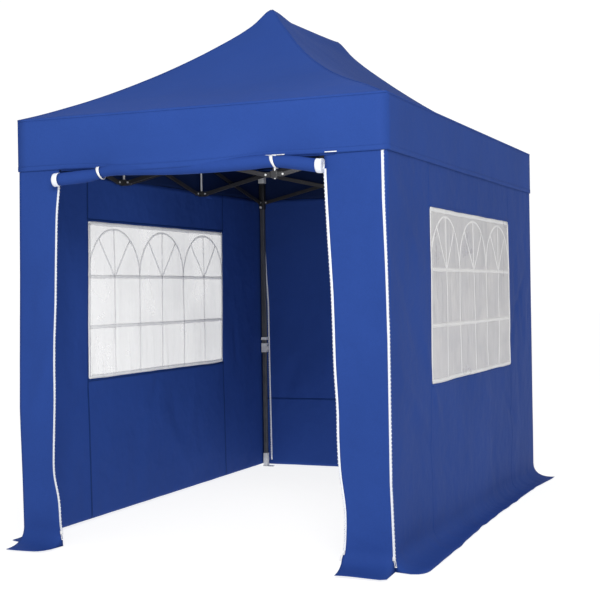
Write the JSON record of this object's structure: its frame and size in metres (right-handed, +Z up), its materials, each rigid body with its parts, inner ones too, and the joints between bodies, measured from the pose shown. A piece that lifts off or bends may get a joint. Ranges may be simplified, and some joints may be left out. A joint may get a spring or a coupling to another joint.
{
  "type": "pop up gazebo",
  "caption": "Rectangular pop up gazebo: folding scissor-truss frame on telescopic legs, hipped fabric canopy, windowed walls and a roll-up door.",
  "frame": {"origin": "on the ground, under the middle of the canopy", "axes": "+Z up, +Y towards the plain back wall along the ridge, door at -Y, +X towards the right-hand wall"},
  "size_m": [2.212, 3.212, 2.88],
  "materials": {
    "black_powder_coat": "satin",
    "zinc_tube": "satin",
    "black_nylon": "matte",
    "canopy_cloth": "woven",
    "wall_cloth": "woven"
  },
  "bodies": {
    "leg_front_left": {"leg_front_left": "black_powder_coat", "wall_left": "wall_cloth"},
    "slider_front_left": {"slider_front_left": "black_nylon"},
    "hub_top_front": {"hub_top_front": "black_nylon"},
    "hub_low_front": {"hub_low_front": "black_nylon"},
    "leg_front_right": {"leg_front_right": "black_powder_coat", "wall_right": "wall_cloth"},
    "slider_front_right": {"slider_front_right": "black_nylon"},
    "hub_top_left_front": {"hub_top_left_front": "black_nylon"},
    "hub_low_left_front": {"hub_low_left_front": "black_nylon"},
    "peak_hub_front": {"peak_hub_front": "black_nylon", "canopy": "canopy_cloth"},
    "peak_pole_front": {"peak_pole_front": "black_nylon"},
    "hub_top_right_front": {"hub_top_right_front": "black_nylon"},
    "hub_low_right_front": {"hub_low_right_front": "black_nylon"},
    "hub_top_left_back": {"hub_top_left_back": "black_nylon"},
    "hub_low_left_back": {"hub_low_left_back": "black_nylon"},
    "peak_hub_back": {"peak_hub_back": "black_nylon"},
    "peak_pole_back": {"peak_pole_back": "black_nylon"},
    "hub_top_right_back": {"hub_top_right_back": "black_nylon"},
    "hub_low_right_back": {"hub_low_right_back": "black_nylon"},
    "leg_back_left": {"leg_back_left": "black_powder_coat"},
    "slider_back_left": {"slider_back_left": "black_nylon"},
    "hub_top_back": {"hub_top_back": "black_nylon", "wall_back": "wall_cloth"},
    "hub_low_back": {"hub_low_back": "black_nylon"},
    "leg_back_right": {"leg_back_right": "black_powder_coat"},
    "slider_back_right": {"slider_back_right": "black_nylon"},
    "inner_leg_front_left": {"inner_leg_front_left": "zinc_tube"},
    "inner_leg_front_right": {"inner_leg_front_right": "zinc_tube"},
    "inner_leg_back_left": {"inner_leg_back_left": "zinc_tube"},
    "inner_leg_back_right": {"inner_leg_back_right": "zinc_tube"},
    "bar_peak_front_left_a": {"bar_peak_front_left_a": "black_powder_coat"},
    "bar_peak_front_left_b": {"bar_peak_front_left_b": "black_powder_coat"},
    "bar_peak_front_right_a": {"bar_peak_front_right_a": "black_powder_coat"},
    "bar_peak_front_right_b": {"bar_peak_front_right_b": "black_powder_coat"},
    "bar_left_front_a": {"bar_left_front_a": "black_powder_coat"},
    "bar_left_front_b": {"bar_left_front_b": "black_powder_coat"},
    "bar_left_mid_a": {"bar_left_mid_a": "black_powder_coat"},
    "bar_left_mid_b": {"bar_left_mid_b": "black_powder_coat"},
    "bar_left_back_a": {"bar_left_back_a": "black_powder_coat"},
    "bar_left_back_b": {"bar_left_back_b": "black_powder_coat"},
    "bar_right_front_a": {"bar_right_front_a": "black_powder_coat"},
    "bar_right_front_b": {"bar_right_front_b": "black_powder_coat"},
    "bar_right_mid_a": {"bar_right_mid_a": "black_powder_coat"},
    "bar_right_mid_b": {"bar_right_mid_b": "black_powder_coat"},
    "bar_right_back_a": {"bar_right_back_a": "black_powder_coat"},
    "bar_right_back_b": {"bar_right_back_b": "black_powder_coat"},
    "bar_front_left_a": {"bar_front_left_a": "black_powder_coat"},
    "bar_front_left_b": {"bar_front_left_b": "black_powder_coat"},
    "bar_peak_back_left_a": {"bar_peak_back_left_a": "black_powder_coat"},
    "bar_peak_back_left_b": {"bar_peak_back_left_b": "black_powder_coat"},
    "bar_back_left_a": {"bar_back_left_a": "black_powder_coat"},
    "bar_back_left_b": {"bar_back_left_b": "black_powder_coat"},
    "bar_front_right_a": {"bar_front_right_a": "black_powder_coat"},
    "bar_front_right_b": {"bar_front_right_b": "black_powder_coat"},
    "bar_peak_back_right_a": {"bar_peak_back_right_a": "black_powder_coat"},
    "bar_peak_back_right_b": {"bar_peak_back_right_b": "black_powder_coat"},
    "bar_back_right_a": {"bar_back_right_a": "black_powder_coat"},
    "bar_back_right_b": {"bar_back_right_b": "black_powder_coat"}
  },
  "joints": [
    {"name": "fold", "type": "hinge", "parent": "peak_hub_front", "child": "bar_peak_front_left_a", "pos_m": [-0.055, -0.50625, 2.155], "axis": [0, -1, 0], "range_deg": [0, 71.69], "deforming": ["canopy", "wall_left", "wall_right", "wall_back"]},
    {"name": "bar_peak_front_left_b_pivot", "type": "hinge", "parent": "bar_peak_front_left_a", "child": "bar_peak_front_left_b", "pos_m": [-0.5, -0.5, 2.0525], "axis": [0, 1, 0], "range_deg": [0, 143.38]},
    {"name": "hub_low_left_front_pivot", "type": "hinge", "parent": "bar_peak_front_left_a", "child": "hub_low_left_front", "pos_m": [-0.945, -0.50625, 1.95], "axis": [0, 1, 0], "range_deg": [0, 71.69]},
    {"name": "hub_top_left_front_pivot", "type": "hinge", "parent": "bar_peak_front_left_b", "child": "hub_top_left_front", "pos_m": [-0.945, -0.49375, 2.155], "axis": [0, -1, 0], "range_deg": [0, 71.69]},
    {"name": "peak_pole_front_pivot", "type": "hinge", "parent": "bar_peak_front_left_b", "child": "peak_pole_front", "pos_m": [-0.055, -0.49375, 1.95], "axis": [0, -1, 0], "range_deg": [0, 71.69]},
    {"name": "bar_peak_front_right_a_pivot", "type": "hinge", "parent": "peak_hub_front", "child": "bar_peak_front_right_a", "pos_m": [0.055, -0.49375, 2.155], "axis": [0, 1, 0], "range_deg": [0, 71.69]},
    {"name": "bar_peak_front_right_b_pivot", "type": "hinge", "parent": "bar_peak_front_right_a", "child": "bar_peak_front_right_b", "pos_m": [0.5, -0.5, 2.0525], "axis": [0, -1, 0], "range_deg": [0, 143.38]},
    {"name": "hub_low_right_front_pivot", "type": "hinge", "parent": "bar_peak_front_right_a", "child": "hub_low_right_front", "pos_m": [0.945, -0.49375, 1.95], "axis": [0, -1, 0], "range_deg": [0, 71.69]},
    {"name": "hub_top_right_front_pivot", "type": "hinge", "parent": "bar_peak_front_right_b", "child": "hub_top_right_front", "pos_m": [0.945, -0.50625, 2.155], "axis": [0, 1, 0], "range_deg": [0, 71.69]},
    {"name": "bar_left_front_a_pivot", "type": "hinge", "parent": "hub_top_left_front", "child": "bar_left_front_a", "pos_m": [-0.97375, -0.555, 2.155], "axis": [1, 0, 0], "range_deg": [0, 71.69]},
    {"name": "bar_left_front_b_pivot", "type": "hinge", "parent": "bar_left_front_a", "child": "bar_left_front_b", "pos_m": [-0.98, -1, 2.0525], "axis": [-1, 0, 0], "range_deg": [0, 143.38]},
    {"name": "slider_front_left_pivot", "type": "hinge", "parent": "bar_left_front_a", "child": "slider_front_left", "pos_m": [-0.97375, -1.445, 1.95], "axis": [-1, 0, 0], "range_deg": [0, 71.69]},
    {"name": "leg_front_left_pivot", "type": "hinge", "parent": "bar_left_front_b", "child": "leg_front_left", "pos_m": [-0.98625, -1.445, 2.155], "axis": [1, 0, 0], "range_deg": [0, 71.69]},
    {"name": "bar_left_mid_a_pivot", "type": "hinge", "parent": "hub_top_left_front", "child": "bar_left_mid_a", "pos_m": [-0.98625, -0.445, 2.155], "axis": [-1, 0, 0], "range_deg": [0, 71.69]},
    {"name": "bar_left_mid_b_pivot", "type": "hinge", "parent": "bar_left_mid_a", "child": "bar_left_mid_b", "pos_m": [-0.98, 0, 2.0525], "axis": [1, 0, 0], "range_deg": [0, 143.38]},
    {"name": "hub_low_left_back_pivot", "type": "hinge", "parent": "bar_left_mid_a", "child": "hub_low_left_back", "pos_m": [-0.98625, 0.445, 1.95], "axis": [1, 0, 0], "range_deg": [0, 71.69]},
    {"name": "hub_top_left_back_pivot", "type": "hinge", "parent": "bar_left_mid_b", "child": "hub_top_left_back", "pos_m": [-0.97375, 0.445, 2.155], "axis": [-1, 0, 0], "range_deg": [0, 71.69]},
    {"name": "bar_left_back_a_pivot", "type": "hinge", "parent": "hub_top_left_back", "child": "bar_left_back_a", "pos_m": [-0.98625, 0.555, 2.155], "axis": [-1, 0, 0], "range_deg": [0, 71.69]},
    {"name": "bar_left_back_b_pivot", "type": "hinge", "parent": "bar_left_back_a", "child": "bar_left_back_b", "pos_m": [-0.98, 1, 2.0525], "axis": [1, 0, 0], "range_deg": [0, 143.38]},
    {"name": "slider_back_left_pivot", "type": "hinge", "parent": "bar_left_back_a", "child": "slider_back_left", "pos_m": [-0.98625, 1.445, 1.95], "axis": [1, 0, 0], "range_deg": [0, 71.69]},
    {"name": "leg_back_left_pivot", "type": "hinge", "parent": "bar_left_back_b", "child": "leg_back_left", "pos_m": [-0.97375, 1.445, 2.155], "axis": [-1, 0, 0], "range_deg": [0, 71.69]},
    {"name": "bar_right_front_a_pivot", "type": "hinge", "parent": "hub_top_right_front", "child": "bar_right_front_a", "pos_m": [0.98625, -0.555, 2.155], "axis": [1, 0, 0], "range_deg": [0, 71.69]},
    {"name": "bar_right_front_b_pivot", "type": "hinge", "parent": "bar_right_front_a", "child": "bar_right_front_b", "pos_m": [0.98, -1, 2.0525], "axis": [-1, 0, 0], "range_deg": [0, 143.38]},
    {"name": "slider_front_right_pivot", "type": "hinge", "parent": "bar_right_front_a", "child": "slider_front_right", "pos_m": [0.98625, -1.445, 1.95], "axis": [-1, 0, 0], "range_deg": [0, 71.69]},
    {"name": "leg_front_right_pivot", "type": "hinge", "parent": "bar_right_front_b", "child": "leg_front_right", "pos_m": [0.97375, -1.445, 2.155], "axis": [1, 0, 0], "range_deg": [0, 71.69]},
    {"name": "bar_right_mid_a_pivot", "type": "hinge", "parent": "hub_top_right_front", "child": "bar_right_mid_a", "pos_m": [0.97375, -0.445, 2.155], "axis": [-1, 0, 0], "range_deg": [0, 71.69]},
    {"name": "bar_right_mid_b_pivot", "type": "hinge", "parent": "bar_right_mid_a", "child": "bar_right_mid_b", "pos_m": [0.98, 0, 2.0525], "axis": [1, 0, 0], "range_deg": [0, 143.38]},
    {"name": "hub_low_right_back_pivot", "type": "hinge", "parent": "bar_right_mid_a", "child": "hub_low_right_back", "pos_m": [0.97375, 0.445, 1.95], "axis": [1, 0, 0], "range_deg": [0, 71.69]},
    {"name": "hub_top_right_back_pivot", "type": "hinge", "parent": "bar_right_mid_b", "child": "hub_top_right_back", "pos_m": [0.98625, 0.445, 2.155], "axis": [-1, 0, 0], "range_deg": [0, 71.69]},
    {"name": "bar_right_back_a_pivot", "type": "hinge", "parent": "hub_top_right_back", "child": "bar_right_back_a", "pos_m": [0.97375, 0.555, 2.155], "axis": [-1, 0, 0], "range_deg": [0, 71.69]},
    {"name": "bar_right_back_b_pivot", "type": "hinge", "parent": "bar_right_back_a", "child": "bar_right_back_b", "pos_m": [0.98, 1, 2.0525], "axis": [1, 0, 0], "range_deg": [0, 143.38]},
    {"name": "slider_back_right_pivot", "type": "hinge", "parent": "bar_right_back_a", "child": "slider_back_right", "pos_m": [0.97375, 1.445, 1.95], "axis": [1, 0, 0], "range_deg": [0, 71.69]},
    {"name": "leg_back_right_pivot", "type": "hinge", "parent": "bar_right_back_b", "child": "leg_back_right", "pos_m": [0.98625, 1.445, 2.155], "axis": [-1, 0, 0], "range_deg": [0, 71.69]},
    {"name": "bar_front_left_a_pivot", "type": "hinge", "parent": "leg_front_left", "child": "bar_front_left_a", "pos_m": [-0.945, -1.47375, 2.155], "axis": [0, 1, 0], "range_deg": [0, 71.69]},
    {"name": "bar_front_left_b_pivot", "type": "hinge", "parent": "bar_front_left_a", "child": "bar_front_left_b", "pos_m": [-0.5, -1.48, 2.0525], "axis": [0, -1, 0], "range_deg": [0, 143.38]},
    {"name": "hub_low_front_pivot", "type": "hinge", "parent": "bar_front_left_a", "child": "hub_low_front", "pos_m": [-0.055, -1.47375, 1.95], "axis": [0, -1, 0], "range_deg": [0, 71.69]},
    {"name": "hub_top_front_pivot", "type": "hinge", "parent": "bar_front_left_b", "child": "hub_top_front", "pos_m": [-0.055, -1.48625, 2.155], "axis": [0, 1, 0], "range_deg": [0, 71.69]},
    {"name": "bar_peak_back_left_a_pivot", "type": "hinge", "parent": "hub_top_left_back", "child": "bar_peak_back_left_a", "pos_m": [-0.945, 0.50625, 2.155], "axis": [0, 1, 0], "range_deg": [0, 71.69]},
    {"name": "bar_peak_back_left_b_pivot", "type": "hinge", "parent": "bar_peak_back_left_a", "child": "bar_peak_back_left_b", "pos_m": [-0.5, 0.5, 2.0525], "axis": [0, -1, 0], "range_deg": [0, 143.38]},
    {"name": "peak_pole_back_pivot", "type": "hinge", "parent": "bar_peak_back_left_a", "child": "peak_pole_back", "pos_m": [-0.055, 0.50625, 1.95], "axis": [0, -1, 0], "range_deg": [0, 71.69]},
    {"name": "peak_hub_back_pivot", "type": "hinge", "parent": "bar_peak_back_left_b", "child": "peak_hub_back", "pos_m": [-0.055, 0.49375, 2.155], "axis": [0, 1, 0], "range_deg": [0, 71.69]},
    {"name": "bar_back_left_a_pivot", "type": "hinge", "parent": "leg_back_left", "child": "bar_back_left_a", "pos_m": [-0.945, 1.48625, 2.155], "axis": [0, 1, 0], "range_deg": [0, 71.69]},
    {"name": "bar_back_left_b_pivot", "type": "hinge", "parent": "bar_back_left_a", "child": "bar_back_left_b", "pos_m": [-0.5, 1.48, 2.0525], "axis": [0, -1, 0], "range_deg": [0, 143.38]},
    {"name": "hub_low_back_pivot", "type": "hinge", "parent": "bar_back_left_a", "child": "hub_low_back", "pos_m": [-0.055, 1.48625, 1.95], "axis": [0, -1, 0], "range_deg": [0, 71.69]},
    {"name": "hub_top_back_pivot", "type": "hinge", "parent": "bar_back_left_b", "child": "hub_top_back", "pos_m": [-0.055, 1.47375, 2.155], "axis": [0, 1, 0], "range_deg": [0, 71.69]},
    {"name": "bar_front_right_a_pivot", "type": "hinge", "parent": "leg_front_right", "child": "bar_front_right_a", "pos_m": [0.945, -1.48625, 2.155], "axis": [0, -1, 0], "range_deg": [0, 71.69]},
    {"name": "bar_front_right_b_pivot", "type": "hinge", "parent": "bar_front_right_a", "child": "bar_front_right_b", "pos_m": [0.5, -1.48, 2.0525], "axis": [0, 1, 0], "range_deg": [0, 143.38]},
    {"name": "bar_peak_back_right_a_pivot", "type": "hinge", "parent": "hub_top_right_back", "child": "bar_peak_back_right_a", "pos_m": [0.945, 0.49375, 2.155], "axis": [0, -1, 0], "range_deg": [0, 71.69]},
    {"name": "bar_peak_back_right_b_pivot", "type": "hinge", "parent": "bar_peak_back_right_a", "child": "bar_peak_back_right_b", "pos_m": [0.5, 0.5, 2.0525], "axis": [0, 1, 0], "range_deg": [0, 143.38]},
    {"name": "bar_back_right_a_pivot", "type": "hinge", "parent": "leg_back_right", "child": "bar_back_right_a", "pos_m": [0.945, 1.47375, 2.155], "axis": [0, -1, 0], "range_deg": [0, 71.69]},
    {"name": "bar_back_right_b_pivot", "type": "hinge", "parent": "bar_back_right_a", "child": "bar_back_right_b", "pos_m": [0.5, 1.48, 2.0525], "axis": [0, 1, 0], "range_deg": [0, 143.38]},
    {"name": "inner_leg_front_left_slide", "type": "slide", "parent": "leg_front_left", "child": "inner_leg_front_left", "axis": [0, 0, 1], "range_m": [0, 0.7]},
    {"name": "inner_leg_front_right_slide", "type": "slide", "parent": "leg_front_right", "child": "inner_leg_front_right", "axis": [0, 0, 1], "range_m": [0, 0.7]},
    {"name": "inner_leg_back_left_slide", "type": "slide", "parent": "leg_back_left", "child": "inner_leg_back_left", "axis": [0, 0, 1], "range_m": [0, 0.7]},
    {"name": "inner_leg_back_right_slide", "type": "slide", "parent": "leg_back_right", "child": "inner_leg_back_right", "axis": [0, 0, 1], "range_m": [0, 0.7]}
  ],
  "couplings": [
    {"joint": "bar_peak_front_left_b_pivot", "follows": "fold", "ratio": 2},
    {"joint": "hub_low_left_front_pivot", "follows": "fold", "ratio": 1},
    {"joint": "hub_top_left_front_pivot", "follows": "fold", "ratio": 1},
    {"joint": "peak_pole_front_pivot", "follows": "fold", "ratio": 1},
    {"joint": "bar_peak_front_right_a_pivot", "follows": "fold", "ratio": 1},
    {"joint": "bar_peak_front_right_b_pivot", "follows": "fold", "ratio": 2},
    {"joint": "hub_low_right_front_pivot", "follows": "fold", "ratio": 1},
    {"joint": "hub_top_right_front_pivot", "follows": "fold", "ratio": 1},
    {"joint": "bar_left_front_a_pivot", "follows": "fold", "ratio": 1},
    {"joint": "bar_left_front_b_pivot", "follows": "fold", "ratio": 2},
    {"joint": "slider_front_left_pivot", "follows": "fold", "ratio": 1},
    {"joint": "leg_front_left_pivot", "follows": "fold", "ratio": 1},
    {"joint": "bar_left_mid_a_pivot", "follows": "fold", "ratio": 1},
    {"joint": "bar_left_mid_b_pivot", "follows": "fold", "ratio": 2},
    {"joint": "hub_low_left_back_pivot", "follows": "fold", "ratio": 1},
    {"joint": "hub_top_left_back_pivot", "follows": "fold", "ratio": 1},
    {"joint": "bar_left_back_a_pivot", "follows": "fold", "ratio": 1},
    {"joint": "bar_left_back_b_pivot", "follows": "fold", "ratio": 2},
    {"joint": "slider_back_left_pivot", "follows": "fold", "ratio": 1},
    {"joint": "leg_back_left_pivot", "follows": "fold", "ratio": 1},
    {"joint": "bar_right_front_a_pivot", "follows": "fold", "ratio": 1},
    {"joint": "bar_right_front_b_pivot", "follows": "fold", "ratio": 2},
    {"joint": "slider_front_right_pivot", "follows": "fold", "ratio": 1},
    {"joint": "leg_front_right_pivot", "follows": "fold", "ratio": 1},
    {"joint": "bar_right_mid_a_pivot", "follows": "fold", "ratio": 1},
    {"joint": "bar_right_mid_b_pivot", "follows": "fold", "ratio": 2},
    {"joint": "hub_low_right_back_pivot", "follows": "fold", "ratio": 1},
    {"joint": "hub_top_right_back_pivot", "follows": "fold", "ratio": 1},
    {"joint": "bar_right_back_a_pivot", "follows": "fold", "ratio": 1},
    {"joint": "bar_right_back_b_pivot", "follows": "fold", "ratio": 2},
    {"joint": "slider_back_right_pivot", "follows": "fold", "ratio": 1},
    {"joint": "leg_back_right_pivot", "follows": "fold", "ratio": 1},
    {"joint": "bar_front_left_a_pivot", "follows": "fold", "ratio": 1},
    {"joint": "bar_front_left_b_pivot", "follows": "fold", "ratio": 2},
    {"joint": "hub_low_front_pivot", "follows": "fold", "ratio": 1},
    {"joint": "hub_top_front_pivot", "follows": "fold", "ratio": 1},
    {"joint": "bar_peak_back_left_a_pivot", "follows": "fold", "ratio": 1},
    {"joint": "bar_peak_back_left_b_pivot", "follows": "fold", "ratio": 2},
    {"joint": "peak_pole_back_pivot", "follows": "fold", "ratio": 1},
    {"joint": "peak_hub_back_pivot", "follows": "fold", "ratio": 1},
    {"joint": "bar_back_left_a_pivot", "follows": "fold", "ratio": 1},
    {"joint": "bar_back_left_b_pivot", "follows": "fold", "ratio": 2},
    {"joint": "hub_low_back_pivot", "follows": "fold", "ratio": 1},
    {"joint": "hub_top_back_pivot", "follows": "fold", "ratio": 1},
    {"joint": "bar_front_right_a_pivot", "follows": "fold", "ratio": 1},
    {"joint": "bar_front_right_b_pivot", "follows": "fold", "ratio": 2},
    {"joint": "bar_peak_back_right_a_pivot", "follows": "fold", "ratio": 1},
    {"joint": "bar_peak_back_right_b_pivot", "follows": "fold", "ratio": 2},
    {"joint": "bar_back_right_a_pivot", "follows": "fold", "ratio": 1},
    {"joint": "bar_back_right_b_pivot", "follows": "fold", "ratio": 2}
  ]
}
